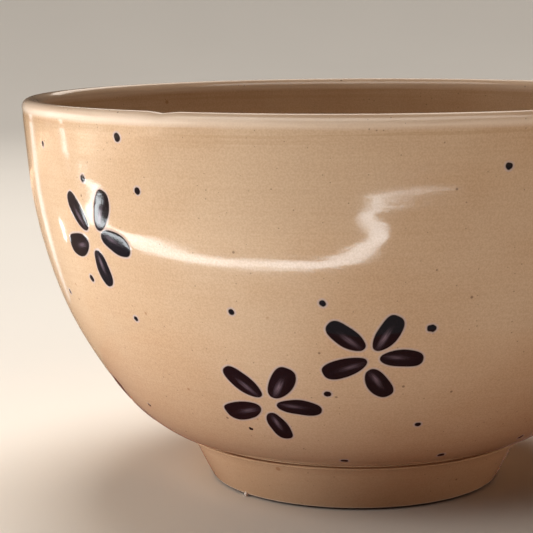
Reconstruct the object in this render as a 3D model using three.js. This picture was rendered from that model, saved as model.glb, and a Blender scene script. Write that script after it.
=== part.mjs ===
// A hand-thrown stoneware punch bowl on a turned foot ring, with brush-painted flowers.
//
// Units are millimetres and +Z is up. The origin is the centre of the circle that the foot
// rests on. Azimuth is measured round the bowl from its front (-Y), anticlockwise from above.

import * as THREE from 'three';

// ---------------------------------------------------------------- driving dimensions

const BOWL_HEIGHT = 164.8; // resting plane to the crest of the lip
const RIM_RADIUS = 140; // outside of the wall, just under the lip
const LIP_THICKNESS = 6.8; // the lip is a half round of this width

const FOOT_HEIGHT = 21.8;
const FOOT_TOP_RADIUS = 73.7;
const FOOT_BOTTOM_RADIUS = 61.8;
const FOOT_WALL = 10.5; // width of the band that the bowl stands on
const FOOT_EDGE = 1.6; // chamfer of the foot's lower edges
const FOOT_RECESS_DRAFT = 2.5; // how much wider the recess is at its ceiling

const SHELL_BOTTOM = 22.1; // height of the shell's underside, over the foot
const SHELL_BOTTOM_RADIUS = 76;
const FLOOR_HEIGHT = 29.5; // height of the inside at the centre

const SLIP_BEAD_RADIUS = 0.9; // half the width of the rolled bead of slip at the joint
const SLIP_GAP = 0.3;

const SEGMENTS = 64; // facets round the bowl
const WALL_STEPS = 14; // facets up each side of the wall
const LIP_STEPS = 6;
const BEAD_STEPS = 8;

const STROKE_LIFT = 0.3; // clearance between a painted stroke and the wall
const STROKE_THICKNESS = 0.7; // build-up of pigment at the middle of a stroke
const STROKE_STEPS = 8; // facets along a stroke
const STROKE_SIDES = 6; // facets round a stroke
const STROKE_TAPER = 0.3; // how much narrower a stroke starts than it ends

// ---------------------------------------------------------------- colours

const glazedBuff = { color: 0xdcc6a8, roughness: 0.22, metalness: 0 };
const glazedFoot = { color: 0xd6bd9c, roughness: 0.3, metalness: 0 };
const slipBuff = { color: 0xc9ab86, roughness: 0.35, metalness: 0 };
const indigo = { color: 0x2a2438, roughness: 0.25, metalness: 0 };

// ---------------------------------------------------------------- outlines
// Each outline is drawn in the plane of radius (x) and height (y).

const lipCentre = new THREE.Vector2(RIM_RADIUS - LIP_THICKNESS / 2, BOWL_HEIGHT - LIP_THICKNESS / 2);

const outerWall = new THREE.SplineCurve([
  new THREE.Vector2(SHELL_BOTTOM_RADIUS, SHELL_BOTTOM),
  new THREE.Vector2(91.5, 31),
  new THREE.Vector2(108, 50.5),
  new THREE.Vector2(124.5, 80.5),
  new THREE.Vector2(135.5, 118.5),
  new THREE.Vector2(RIM_RADIUS, lipCentre.y),
]);

const innerWall = new THREE.SplineCurve([
  new THREE.Vector2(RIM_RADIUS - LIP_THICKNESS, lipCentre.y),
  new THREE.Vector2(128.8, 119.5),
  new THREE.Vector2(117.7, 83.5),
  new THREE.Vector2(101, 54.5),
  new THREE.Vector2(80, 39),
  new THREE.Vector2(48, 31.2),
  new THREE.Vector2(0, FLOOR_HEIGHT),
]);

const wallLength = outerWall.getLength();

// ---------------------------------------------------------------- helpers

function finish(name, geometry, surface) {
  const mesh = new THREE.Mesh(geometry, new THREE.MeshStandardMaterial(surface));
  mesh.name = name;
  return mesh;
}

// A lathe turns about Y, so the turned shape is stood up to turn about Z.
function turn(outline) {
  const geometry = new THREE.LatheGeometry(outline, SEGMENTS);
  geometry.rotateX(Math.PI / 2);
  return geometry;
}

// An arc in the outline plane, from one angle to another, about a centre.
function arc(centre, radius, fromAngle, toAngle, steps) {
  const points = [];
  for (let i = 0; i <= steps; i += 1) {
    const angle = THREE.MathUtils.lerp(fromAngle, toAngle, i / steps);
    points.push(new THREE.Vector2(
      centre.x + radius * Math.cos(angle),
      centre.y + radius * Math.sin(angle),
    ));
  }
  return points;
}

// How far up the outer wall, along its slope, a given height is.
function slopeDistanceAt(height) {
  let low = 0;
  let high = 1;
  for (let i = 0; i < 40; i += 1) {
    const middle = (low + high) / 2;
    if (outerWall.getPointAt(middle).y < height) low = middle;
    else high = middle;
  }
  return low * wallLength;
}

// A point on the outer wall, lifted off it: along is the distance up its slope.
function onWall(azimuth, along, lift) {
  const fraction = THREE.MathUtils.clamp(along / wallLength, 0, 1);
  const point = outerWall.getPointAt(fraction);
  const slope = outerWall.getTangentAt(fraction);
  const radius = point.x + lift * slope.y;
  const height = point.y - lift * slope.x;
  return new THREE.Vector3(radius * Math.sin(azimuth), -radius * Math.cos(azimuth), height);
}

// ---------------------------------------------------------------- the thrown shell
// One wall from the underside, up the outside, over the half-round lip and down the inside.

function bowlShell() {
  const outline = [new THREE.Vector2(0, SHELL_BOTTOM)];
  outline.push(...outerWall.getSpacedPoints(WALL_STEPS).slice(0, -1));
  outline.push(...arc(lipCentre, LIP_THICKNESS / 2, 0, Math.PI, LIP_STEPS));
  outline.push(...innerWall.getSpacedPoints(WALL_STEPS).slice(1));
  return finish('bowl_shell', turn(outline), glazedBuff);
}

// ---------------------------------------------------------------- the turned foot ring
// A tapered ring, hollow in the middle, that stands on a narrow flat band.

function footRing() {
  const slope = (FOOT_TOP_RADIUS - FOOT_BOTTOM_RADIUS) / FOOT_HEIGHT;
  const innerRadius = FOOT_BOTTOM_RADIUS - FOOT_WALL;
  const outline = [
    new THREE.Vector2(FOOT_BOTTOM_RADIUS - FOOT_EDGE, 0),
    new THREE.Vector2(FOOT_BOTTOM_RADIUS + slope * FOOT_EDGE, FOOT_EDGE),
    new THREE.Vector2(FOOT_TOP_RADIUS, FOOT_HEIGHT),
    new THREE.Vector2(innerRadius + FOOT_RECESS_DRAFT, FOOT_HEIGHT),
    new THREE.Vector2(innerRadius, FOOT_EDGE),
    new THREE.Vector2(innerRadius + FOOT_EDGE, 0),
    new THREE.Vector2(FOOT_BOTTOM_RADIUS - FOOT_EDGE, 0),
  ];
  return finish('foot_ring', turn(outline), glazedFoot);
}

// ---------------------------------------------------------------- the bead of slip
// A thin rolled bead that fills the corner where the shell overhangs the foot.

function slipBead() {
  const centre = new THREE.Vector2(
    FOOT_TOP_RADIUS + SLIP_GAP + SLIP_BEAD_RADIUS,
    SHELL_BOTTOM - SLIP_GAP - SLIP_BEAD_RADIUS,
  );
  const outline = arc(centre, SLIP_BEAD_RADIUS, 0, 2 * Math.PI, BEAD_STEPS);
  outline[outline.length - 1] = outline[0].clone();
  return finish('slip_bead', turn(outline), slipBuff);
}

// ---------------------------------------------------------------- the painted flowers
// Five brush strokes round a bare centre. A stroke is [level, up, direction, length, width]:
// where its middle lies from the flower's centre, and the way that the brush went, in degrees
// anticlockwise from level, seen from outside. A flower sits at an azimuth in degrees and a
// height.

const usualStrokes = {
  upper_left: [-8.6, 9.9, 132, 16.7, 7.8],
  upper_right: [6, 11.1, 64, 16.4, 8.1],
  right: [11.4, -0.9, -9, 16.3, 7.8],
  lower: [2.4, -11.8, -68, 15.2, 8],
  left: [-11.2, -3.9, -164, 16.4, 8.6],
};

const leftFlower = {
  upper_left: [-9.4, 9.8, 128, 16.9, 7.4],
  upper_right: [5.8, 11.3, 69, 16.5, 8.2],
  right: [11.6, -0.8, -19, 16, 8],
  lower: [1.1, -11.7, -74, 14.4, 7.8],
  left: [-12.6, -3.4, -170, 14.8, 9],
};

const lowFlower = {
  upper_left: [-7.2, 10, 129, 17.4, 8],
  upper_right: [6.9, 10.7, 64, 16.6, 8.6],
  right: [12.4, -1.8, -5, 17, 7.8],
  lower: [2.9, -12.7, -72, 15.4, 8],
  left: [-10.9, -5, -163, 16.4, 9.2],
};

const middleFlower = {
  upper_left: [-9.2, 10, 139, 16.2, 8],
  upper_right: [4.9, 11.2, 62, 15.9, 7.6],
  right: [10.8, 0, -3, 15.6, 7.4],
  lower: [3.1, -11.1, -58, 15.2, 8.4],
  left: [-10, -3.4, -159, 17.2, 8],
};

// The same hand paints the rest of them, each turned a little about its centre.
function turned(degrees) {
  const centre = new THREE.Vector2();
  const angle = THREE.MathUtils.degToRad(degrees);
  const turnStroke = ([place, [level, up, direction, ...size]]) => {
    const middle = new THREE.Vector2(level, up).rotateAround(centre, angle);
    return [place, [middle.x, middle.y, direction + degrees, ...size]];
  };
  return Object.fromEntries(Object.entries(usualStrokes).map(turnStroke));
}

const flowers = [
  { azimuth: -46, height: 115.5, strokes: leftFlower },
  { azimuth: -17, height: 55.5, strokes: lowFlower },
  { azimuth: 3, height: 75.5, strokes: middleFlower },
  { azimuth: -72.5, height: 37, strokes: turned(-8) },
  { azimuth: 60, height: 112, strokes: turned(6) },
  { azimuth: 86, height: 62, strokes: turned(-5) },
  { azimuth: 122, height: 98, strokes: turned(12) },
  { azimuth: 157, height: 58, strokes: turned(-11) },
  { azimuth: -162, height: 108, strokes: turned(4) },
  { azimuth: -117, height: 74, strokes: turned(-3) },
];

// A stroke is a flattened ball, stretched along its length, a little narrower where the
// brush lands, and then wrapped on the wall.
function paintedStroke(name, flower, [level, up, direction, length, width]) {
  const geometry = new THREE.SphereGeometry(1, STROKE_SIDES, STROKE_STEPS);
  const centreAlong = slopeDistanceAt(flower.height);
  const centreRadius = outerWall.getPointAt(centreAlong / wallLength).x;
  const turnBy = THREE.MathUtils.degToRad(direction);
  const position = geometry.attributes.position;
  const vertex = new THREE.Vector3();
  for (let i = 0; i < position.count; i += 1) {
    vertex.fromBufferAttribute(position, i);
    const forward = (length / 2) * vertex.y;
    const across = (width / 2) * vertex.x * (1 + STROKE_TAPER * vertex.y / 2);
    const lift = STROKE_LIFT + (STROKE_THICKNESS / 2) * (1 + vertex.z);
    const sideways = level + forward * Math.cos(turnBy) + across * Math.sin(turnBy);
    const upwards = up + forward * Math.sin(turnBy) - across * Math.cos(turnBy);
    const azimuth = THREE.MathUtils.degToRad(flower.azimuth) + sideways / centreRadius;
    vertex.copy(onWall(azimuth, centreAlong + upwards, lift));
    position.setXYZ(i, vertex.x, vertex.y, vertex.z);
  }
  geometry.computeVertexNormals();
  return finish(name, geometry, indigo);
}

function paintedFlower(number, flower) {
  const petals = new THREE.Group();
  Object.entries(flower.strokes).forEach(([place, stroke]) => {
    petals.add(paintedStroke(`flower_${number}_petal_${place}`, flower, stroke));
  });
  return petals;
}

// ---------------------------------------------------------------- the whole bowl

const group = new THREE.Group();
group.add(bowlShell());
group.add(footRing());
group.add(slipBead());
flowers.forEach((flower, i) => group.add(paintedFlower(i + 1, flower)));

export default group;
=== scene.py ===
# %% [markdown]
# # A hand-thrown punch bowl
#
# The real bowl is stoneware. A shell is thrown on the wheel, a tapered foot ring is turned
# for it, and a bead of slip is rolled into the corner where the two meet. Flowers and dots
# are painted on with a round brush and a dark indigo stain, and a clear glaze covers it all.
#
# This lesson starts from the finished frame of the bowl, which gives every size and place.
# It adds what a frame can't hold: the fine surface of the clay, the brushwork and the glaze.

# %% Load the frame
import math

import bmesh
import bpy
import numpy as np
from mathutils import Matrix, Vector


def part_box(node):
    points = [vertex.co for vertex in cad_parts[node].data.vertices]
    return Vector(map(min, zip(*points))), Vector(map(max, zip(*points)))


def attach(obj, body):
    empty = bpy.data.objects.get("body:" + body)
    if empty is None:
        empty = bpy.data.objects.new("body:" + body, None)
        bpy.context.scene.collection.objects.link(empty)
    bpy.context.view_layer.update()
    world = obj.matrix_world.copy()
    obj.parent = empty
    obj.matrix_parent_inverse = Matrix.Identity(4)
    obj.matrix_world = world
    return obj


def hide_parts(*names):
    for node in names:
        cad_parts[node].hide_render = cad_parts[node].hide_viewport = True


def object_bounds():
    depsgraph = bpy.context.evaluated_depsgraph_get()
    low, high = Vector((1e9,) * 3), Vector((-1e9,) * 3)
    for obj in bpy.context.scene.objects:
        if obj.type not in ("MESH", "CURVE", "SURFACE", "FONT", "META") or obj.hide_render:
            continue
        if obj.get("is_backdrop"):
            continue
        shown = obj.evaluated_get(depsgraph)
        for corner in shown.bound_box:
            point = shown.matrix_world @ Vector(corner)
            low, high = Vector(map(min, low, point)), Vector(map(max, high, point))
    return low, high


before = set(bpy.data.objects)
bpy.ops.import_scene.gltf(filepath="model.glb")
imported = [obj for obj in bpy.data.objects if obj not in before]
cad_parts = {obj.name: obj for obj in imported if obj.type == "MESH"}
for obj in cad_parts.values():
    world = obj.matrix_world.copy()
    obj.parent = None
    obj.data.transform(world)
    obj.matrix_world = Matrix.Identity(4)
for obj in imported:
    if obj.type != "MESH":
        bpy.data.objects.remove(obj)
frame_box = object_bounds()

MM = 0.001
print("the frame is", [round(size / MM, 1) for size in frame_box[1] - frame_box[0]], "mm")

# %% [markdown]
# ## The camera
#
# A bowl looks most like itself from a little above its rim, where the mouth is a thin dark
# leaf and the wall shows its whole curve. The camera stands close, so that the near wall
# swells, and it is turned a little to the left, so that the bowl runs out of view on the
# right. A long lens keeps the sides upright.

# %% Place the camera
CAMERA_AWAY = 692.8 * MM
CAMERA_HEIGHT = 201.4 * MM
CAMERA_LENS = 109.5
CAMERA_DOWN = math.radians(9.14)
CAMERA_LEFT = math.radians(3.13)
CAMERA_ROLL = math.radians(-0.52)

camera = bpy.data.objects.new("camera", bpy.data.cameras.new("camera"))
bpy.context.scene.collection.objects.link(camera)
bpy.context.scene.camera = camera
camera.data.lens = CAMERA_LENS
camera.data.sensor_width = 36
camera.location = (0, -CAMERA_AWAY, CAMERA_HEIGHT)
turn_left = Matrix.Rotation(CAMERA_LEFT, 3, "Z")
look_down = Matrix.Rotation(math.pi / 2 - CAMERA_DOWN, 3, "X")
roll = Matrix.Rotation(CAMERA_ROLL, 3, "Z")
camera.rotation_euler = (turn_left @ look_down @ roll).to_euler()
print("the camera looks down by", round(math.degrees(CAMERA_DOWN), 1), "degrees")

# %% [markdown]
# ## The potter's outline
#
# A thrown bowl is one outline turned about an axis. The frame's shell has that outline in
# its corners, so it is read from there, from the column of corners at the very front.
# Corners whose faces look outwards belong to the outside, and the rest to the inside.


# %% Read the outline of a turned part
def section_of(node):
    """(radius, height) of a turned part's corners: outside going up, inside going down."""
    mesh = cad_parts[node].data
    looks_out = {}
    for face in mesh.polygons:
        for index in face.vertices:
            x, y, z = mesh.vertices[index].co
            if abs(x) < 1e-6 and y < -1e-6:
                corner = (round(-y, 6), round(z, 6))
                looks_out[corner] = looks_out.get(corner, 0) - face.normal.y
    outside = sorted((c for c in looks_out if looks_out[c] >= 0), key=lambda c: c[1])
    inside = sorted((c for c in looks_out if looks_out[c] < 0), key=lambda c: -c[1])
    return outside, inside


def axis_heights(node):
    """The heights at which a turned part crosses its own axis, lowest first."""
    points = (vertex.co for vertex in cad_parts[node].data.vertices)
    return sorted({round(p.z, 6) for p in points if math.hypot(p.x, p.y) < 1e-6})


shell_outside, shell_inside = section_of("bowl_shell")
underside_height, floor_height = axis_heights("bowl_shell")
rim_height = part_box("bowl_shell")[1].z
rim_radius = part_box("bowl_shell")[1].x
print("outline corners:", len(shell_outside), "outside,", len(shell_inside), "inside")

# %% [markdown]
# The corners are 12 mm apart, which is coarse for clay. A smooth line is drawn through
# them: at each corner it keeps the direction of its neighbours, and cubic pieces join them.


# %% Draw a smooth line through corners
def smooth_line(corners, spacing):
    """Points about one spacing apart on a smooth line through the corners."""
    corners = np.array(corners)
    steps = np.linalg.norm(np.diff(corners, axis=0), axis=1)
    reach = np.concatenate([[0], np.cumsum(steps)])
    slopes = np.gradient(corners, reach, axis=0, edge_order=2)
    at = np.linspace(0, reach[-1], max(2, round(reach[-1] / spacing)) + 1)
    k = np.clip(np.searchsorted(reach, at, side="right") - 1, 0, len(steps) - 1)
    span = steps[k][:, None]
    t = ((at - reach[k]) / steps[k])[:, None]
    rise = t * t * (3 - 2 * t)
    return (
        (1 - rise) * corners[k]
        + rise * corners[k + 1]
        + t * (1 - t) ** 2 * span * slopes[k]
        - t * t * (1 - t) * span * slopes[k + 1]
    )


lip_start = max(shell_outside)
lip_round = rim_height - lip_start[1]
outer_corners = [c for c in shell_outside if c[1] <= lip_start[1]]
inner_corners = [c for c in shell_inside if c[1] <= lip_start[1]]
outer_line = smooth_line(outer_corners, 0.5 * MM)
outer_steps = np.linalg.norm(np.diff(outer_line, axis=0), axis=1)
outer_reach = np.concatenate([[0], np.cumsum(outer_steps)])
print("the outer wall is", round(outer_reach[-1] / MM, 1), "mm long, foot to lip")

# %% [markdown]
# ## The mark of the wheel
#
# Fingers leave a shallow spiral on the wall as the clay turns, and the rim is never quite
# level or round. Both are small here, about a third of a millimetre at most, but the glaze
# is a mirror and shows them as bent reflections. Bump in the finish would leave the outline
# perfect, so they are pushed into the mesh itself. Every push is inwards or down, so that
# the bowl keeps to its frame. A faint groove under the lip is the edge of the leather that
# smoothed it. One nick in the lip, at the front left, is where a fingernail caught it.

# %% Describe the spiral, the rim and the nick
SPIRAL_PITCH = 9 * MM
SPIRAL_DEPTH = 0.07 * MM
RIM_SWAY = 0.35 * MM
OUT_OF_ROUND = 0.3 * MM
NICK_AZIMUTH = math.radians(-29.6)
NICK_HALF_WIDTH = math.radians(1.5)
NICK_DEPTH = 0.7 * MM
NICK_REACH = 5 * MM
GROOVE_BELOW_LIP = 5.2 * MM
GROOVE_DEPTH = 0.1 * MM
GROOVE_HALF_WIDTH = 1.3 * MM


def spiral(along, azimuth):
    """How deep the finger spiral is, as a push along the wall's normal."""
    phase = 2 * math.pi * along / SPIRAL_PITCH - azimuth
    swell = 0.5 + 0.3 * np.sin(0.37 * phase + 1.1) * np.sin(azimuth)
    return -SPIRAL_DEPTH * swell * (1 + np.sin(phase)) / 2


def sway(x, y, z):
    """Moves points of a true turned shape to where the potter's hands left them."""
    azimuth = np.arctan2(x, -y)
    high = np.clip(z / rim_height, 0, 1) ** 3
    squeeze = 1 - high * OUT_OF_ROUND / rim_radius * (1 - np.cos(2 * azimuth + 0.7)) / 2
    from_groove = (z - rim_height + GROOVE_BELOW_LIP) / GROOVE_HALF_WIDTH
    outside = np.hypot(x, y) > rim_radius - lip_round
    squeeze -= outside * GROOVE_DEPTH / rim_radius * np.exp(-(from_groove**2))
    dip = high * RIM_SWAY * (2 - np.cos(azimuth - 0.4) - np.cos(3 * azimuth + 1.9)) / 4
    near = np.exp(-(((azimuth - NICK_AZIMUTH) / NICK_HALF_WIDTH) ** 2))
    lip = np.clip((z - rim_height + NICK_REACH) / NICK_REACH, 0, 1) ** 2
    return x * squeeze, y * squeeze, z - dip - NICK_DEPTH * near * lip


print("the spiral climbs", round(outer_reach[-1] / SPIRAL_PITCH, 1), "turns up the wall")

# %% [markdown]
# ## Turning a mesh
#
# Blender's Screw modifier can turn an outline, but here each ring of points is also pushed
# by the spiral and the sway, so the mesh is built ring by ring in code. A point on the axis
# becomes one shared tip, and an outline that closes on itself becomes a ring. The last few
# steps are the same for every mesh in this lesson, so they have a helper of their own.

# %% Turn an outline into a mesh
FACETS = 256


def mesh_object(name, vertices, faces, smooth=True):
    """A new object in the scene, made of vertices and faces."""
    mesh = bpy.data.meshes.new(name)
    mesh.from_pydata(vertices, [], faces)
    mesh.validate()
    if smooth:
        mesh.shade_smooth()
    made = bpy.data.objects.new(name, mesh)
    bpy.context.scene.collection.objects.link(made)
    return made


def turned_mesh(name, outline, push):
    """A turned piece. push gives each point's move along the normal, from outline and angle."""
    outline = np.array(outline)
    closed = bool(np.allclose(outline[0], outline[-1]))
    if closed:
        outline = outline[:-1]
    ahead = np.roll(outline, -1, axis=0) - np.roll(outline, 1, axis=0)
    if not closed:
        ahead[0], ahead[-1] = outline[1] - outline[0], outline[-1] - outline[-2]
    ahead /= np.linalg.norm(ahead, axis=1)[:, None]
    steps = np.linalg.norm(np.diff(outline, axis=0), axis=1)
    along = np.concatenate([[0], np.cumsum(steps)])
    angles = np.linspace(0, 2 * math.pi, FACETS, endpoint=False)
    vertices, rings = [], []
    for (radius, height), (slope_r, slope_z), reach in zip(outline, ahead, along):
        if radius < 1e-6:
            rings.append([len(vertices)] * FACETS)
            vertices.append((0, 0, height))
            continue
        lift = push(reach, angles)
        r = radius + lift * slope_z
        z = height - lift * slope_r
        points = np.stack(sway(r * np.sin(angles), -r * np.cos(angles), z), axis=1)
        rings.append(list(range(len(vertices), len(vertices) + FACETS)))
        vertices.extend(points.tolist())
    faces = []
    pairs = list(zip(rings, rings[1:])) + ([(rings[-1], rings[0])] if closed else [])
    for low, high in pairs:
        for i in range(FACETS):
            j = (i + 1) % FACETS
            corners = [low[i], low[j], high[j], high[i]]
            faces.append(list(dict.fromkeys(corners)))
    return mesh_object(name, vertices, faces)


print("at the rim, points are", round(2 * math.pi * rim_radius / FACETS / MM, 1), "mm apart")

# %% [markdown]
# ## The shell
#
# The outline runs from the middle of the underside, out to the corner over the foot, up the
# wall, round the lip and down the inside to the middle of the floor. The lip is a half round,
# as a wet leather strip leaves it. It and the corner bend sharply, so their rings are closer
# together than those of the wall.

# %% Throw the shell
CORNER_ROUND = 1.2 * MM
WALL_SPACING = 2 * MM
LIP_SPACING = 0.5 * MM

corner_radius, corner_height = shell_outside[0]
underside = [(radius * MM, underside_height) for radius in (0, 15, 30, 45, 56, 66, 72)]
corner = [
    (corner_radius - 2.4 * CORNER_ROUND, corner_height),
    (corner_radius - 1.0 * CORNER_ROUND, corner_height + 0.1 * CORNER_ROUND),
    (corner_radius - 0.1 * CORNER_ROUND, corner_height + 0.45 * CORNER_ROUND),
    (corner_radius + 1.2 * CORNER_ROUND, corner_height + 1.15 * CORNER_ROUND),
]
outer_wall = smooth_line([corner[-1], *outer_line[12::12], outer_line[-1]], WALL_SPACING)
turns = np.linspace(0, math.pi, round(math.pi * lip_round / LIP_SPACING))
lip_radius = lip_start[0] - lip_round * (1 - np.cos(turns))
lip = np.stack([lip_radius, lip_start[1] + lip_round * np.sin(turns)], axis=1)
inner_wall = smooth_line([*inner_corners, (0, floor_height)], WALL_SPACING)
shell_outline = np.vstack([
    underside, smooth_line(corner, 0.5 * MM), outer_wall[1:-1], lip[:-1], inner_wall
])
thrown_shell = turned_mesh("thrown_shell", shell_outline, spiral)
print("the shell has", len(shell_outline), "rings and", len(thrown_shell.data.polygons), "faces")

# %% [markdown]
# ## The foot ring
#
# The foot was turned once the clay was firm, so it is crisper than the wall: a tapered band,
# a cove that flares out to the shell, and a narrow flat that the bowl stands on. Its lower
# edge is undercut, which draws a dark line round it on the table, and the undercut is
# painted near black as painted shade to deepen that line. The frame's six corners alone
# would make hard edges, so curves are drawn between them.

# %% Turn the foot
FOOT_COVE = 1.0 * MM
UNDERCUT = 0.42
UNDERCUT_DEPTH = 2.6 * MM
LEDGE_WIDTH = 1.2 * MM
FOOT_TUCK = 0.5 * MM
TOOL_PITCH = 1.9 * MM
TOOL_DEPTH = 0.02 * MM

foot_outside, foot_inside = section_of("foot_ring")
(band_outer, _), (edge_radius, edge_height), (foot_top_radius, foot_top) = foot_outside
(recess_top, _), (recess_radius, recess_edge), (band_inner, _) = foot_inside


def bend(start, pull, end, count):
    """Points on a curve from start to end that is drawn towards pull."""
    start, pull, end = (np.array(p) for p in (start, pull, end))
    t = np.linspace(0, 1, count)[:, None]
    return (1 - t) ** 2 * start + 2 * t * (1 - t) * pull + t**2 * end


def on_taper(share, inwards=0.0):
    """A point on the foot's tapered side, or inwards of it, at a share of its height."""
    radius = edge_radius + (foot_top_radius - edge_radius) * share
    return radius - inwards, edge_height + (foot_top - edge_height) * share


undercut = UNDERCUT * edge_height
stand_outer = band_outer - UNDERCUT_DEPTH
ledge = (stand_outer + LEDGE_WIDTH, undercut)
recess_corner = (recess_radius, recess_edge)
tucked_top = foot_top + FOOT_TUCK
foot_outline = np.vstack([
    bend((band_inner, 0), (0.5 * (band_inner + stand_outer), 0), (stand_outer, 0), 6),
    bend((stand_outer, 0), (stand_outer, undercut), ledge, 6)[1:],
    bend(ledge, (edge_radius - 0.2 * MM, undercut), (edge_radius, edge_height), 7)[1:],
    smooth_line(
        [
            (edge_radius, edge_height),
            on_taper(0.35, 0.2 * FOOT_COVE),
            on_taper(0.6, 0.55 * FOOT_COVE),
            on_taper(0.78, 0.95 * FOOT_COVE),
            on_taper(0.88, 0.8 * FOOT_COVE),
            on_taper(0.95, 0.4 * FOOT_COVE),
            on_taper(1.0, 0.05 * FOOT_COVE),
        ],
        0.6 * MM,
    )[1:],
    [(foot_top_radius - 2 * MM, tucked_top), (recess_top, tucked_top)],
    bend((recess_top, foot_top), (recess_radius + 1.2 * MM, 0.5 * foot_top), recess_corner, 9),
    bend(recess_corner, (recess_radius + 0.2 * MM, 0), (band_inner, 0), 6)[1:],
])


def turning_lines(along, azimuth):
    """The fine ridges that the turning tool leaves on firm clay."""
    return -TOOL_DEPTH * (1 + np.sin(2 * math.pi * along / TOOL_PITCH - azimuth)) / 2


turned_foot = turned_mesh("turned_foot", foot_outline, turning_lines)
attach(thrown_shell, "root")
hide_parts("bowl_shell")
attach(turned_foot, "root")
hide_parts("foot_ring")
print("the foot stands on a band", round((stand_outer - band_inner) / MM, 1), "mm wide")

# %% [markdown]
# ## The bead of slip
#
# Slip is clay stirred with water, and it glues the foot to the shell. The potter rolls a
# thin coil of it into the corner and leaves it as a fine light line between two dark ones.
# It is a slightly flattened ring. Blender's torus would be too even, so it is turned like
# the shell, and a push that wavers stands for the thumb that pressed it.

# %% Roll the bead
BEAD_FLATNESS = 0.85
BEAD_INSET = 0.3 * MM
BEAD_WAVER = 0.12 * MM

bead_low, bead_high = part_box("slip_bead")
bead_half = (bead_high.z - bead_low.z) / 2
bead_centre = (bead_high.x - bead_half, bead_low.z + bead_half)


def pressed(along, azimuth):
    """The uneven pressure of a thumb round the bead."""
    return -BEAD_INSET - BEAD_WAVER * (0.6 * np.sin(5 * azimuth) + 0.4 * np.sin(13 * azimuth + 1))


turns = np.linspace(0, 2 * math.pi, 17)
bead_radius = bead_centre[0] + bead_half * np.cos(turns)
bead_height = bead_centre[1] + BEAD_FLATNESS * bead_half * np.sin(turns)
bead_outline = np.stack([bead_radius, bead_height], axis=1)
rolled_bead = turned_mesh("rolled_bead", bead_outline, pressed)
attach(rolled_bead, "root")
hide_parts("slip_bead")
print("the bead is", round(2 * bead_half / MM, 1), "mm across")

# %% [markdown]
# Glaze runs while it melts. One drop ran down the foot here and froze at its edge, so small
# that it is only a glint. It starts as a ball of even triangles, which are drawn out
# downwards point by point.

# %% Hang the drop of glaze
DROP_AZIMUTH = math.radians(-45.5)
DROP_RADIUS = 0.8 * MM
DROP_STRETCH = 1.25
DROP_BELOW_EDGE = 0.3 * MM


def glaze_drop(name, azimuth):
    """A drop of glaze on the foot's lower edge."""
    mesh = bpy.data.meshes.new(name)
    maker = bmesh.new()
    bmesh.ops.create_icosphere(maker, subdivisions=3, radius=DROP_RADIUS)
    for corner in maker.verts:
        sag = 1 - 0.2 * corner.co.z / DROP_RADIUS
        corner.co = (corner.co.x * sag, corner.co.y * sag, corner.co.z * DROP_STRETCH)
    maker.to_mesh(mesh)
    maker.free()
    mesh.shade_smooth()
    height = edge_height - DROP_BELOW_EDGE
    middle = Vector((edge_radius * math.sin(azimuth), -edge_radius * math.cos(azimuth), height))
    for corner in mesh.vertices:
        corner.co += middle
    drop = bpy.data.objects.new(name, mesh)
    bpy.context.scene.collection.objects.link(drop)
    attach(drop, "root")
    return drop


frozen_drop = glaze_drop("frozen_drop", DROP_AZIMUTH)
print("the drop is", round(2 * DROP_RADIUS / MM, 1), "mm across")

# %% [markdown]
# ## Working on the wall
#
# Brush marks are laid out flat, as on paper, and then carried onto the wall. A place on the
# wall is an azimuth and a distance up its slope, and this helper turns it into a point in
# space, with the same spiral and sway as the shell, so that paint and clay never part.


# %% Find points on the wall
outer_slope = np.gradient(outer_line, outer_reach, axis=0)
outer_slope /= np.linalg.norm(outer_slope, axis=1)[:, None]


def on_wall(azimuth, along, lift):
    """Points on the outer wall, lifted off it. All three are arrays of one length."""
    radius = np.interp(along, outer_reach, outer_line[:, 0])
    height = np.interp(along, outer_reach, outer_line[:, 1])
    slope_r = np.interp(along, outer_reach, outer_slope[:, 0])
    slope_z = np.interp(along, outer_reach, outer_slope[:, 1])
    lift = lift + spiral(along + shell_wall_start, azimuth)
    r, z = radius + lift * slope_z, height - lift * slope_r
    return np.stack(sway(r * np.sin(azimuth), -r * np.cos(azimuth), z), axis=1)


# The spiral counts from the middle of the underside, and the wall from its own foot. The
# ring of the outer wall at the waist gives the distance between the two starts.
WAIST_HEIGHT = 80 * MM
WAIST_RADIUS_OVER = 120 * MM

shell_steps = np.linalg.norm(np.diff(shell_outline, axis=0), axis=1)
shell_reach = np.concatenate([[0], np.cumsum(shell_steps)])
inside_wall = shell_outline[:, 0] < WAIST_RADIUS_OVER
waist = np.argmin(np.abs(shell_outline[:, 1] - WAIST_HEIGHT) + inside_wall)
waist_reach = np.interp(shell_outline[waist, 1], outer_line[:, 1], outer_reach)
shell_wall_start = shell_reach[waist] - waist_reach


def reach_at(height):
    """The distance up the outer wall at a height."""
    return float(np.interp(height, outer_line[:, 1], outer_reach))


print("the wall starts", round(shell_wall_start / MM, 1), "mm along the shell's outline")

# %% [markdown]
# ## Measuring the painted strokes
#
# The frame holds each petal as a plain wrapped lens. Its corners are unrolled onto the flat,
# and the long direction of that cloud of points is the way the brush went. The end nearer
# the middle of the flower is where the brush landed.

# %% Unroll the petals of the frame
PLACES = ("upper_left", "upper_right", "right", "lower", "left")
flower_count = sum(name.endswith("_petal_left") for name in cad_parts)


def unrolled(node):
    """The corners of a petal as (azimuth, distance up the wall)."""
    points = np.array([vertex.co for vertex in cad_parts[node].data.vertices])
    section = np.stack([np.hypot(points[:, 0], points[:, 1]), points[:, 2]], axis=1)
    gaps = np.linalg.norm(section[:, None] - outer_line[None], axis=2)
    azimuth = np.arctan2(points[:, 0], -points[:, 1])
    return np.stack([azimuth, outer_reach[gaps.argmin(axis=1)]], axis=1)


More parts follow.
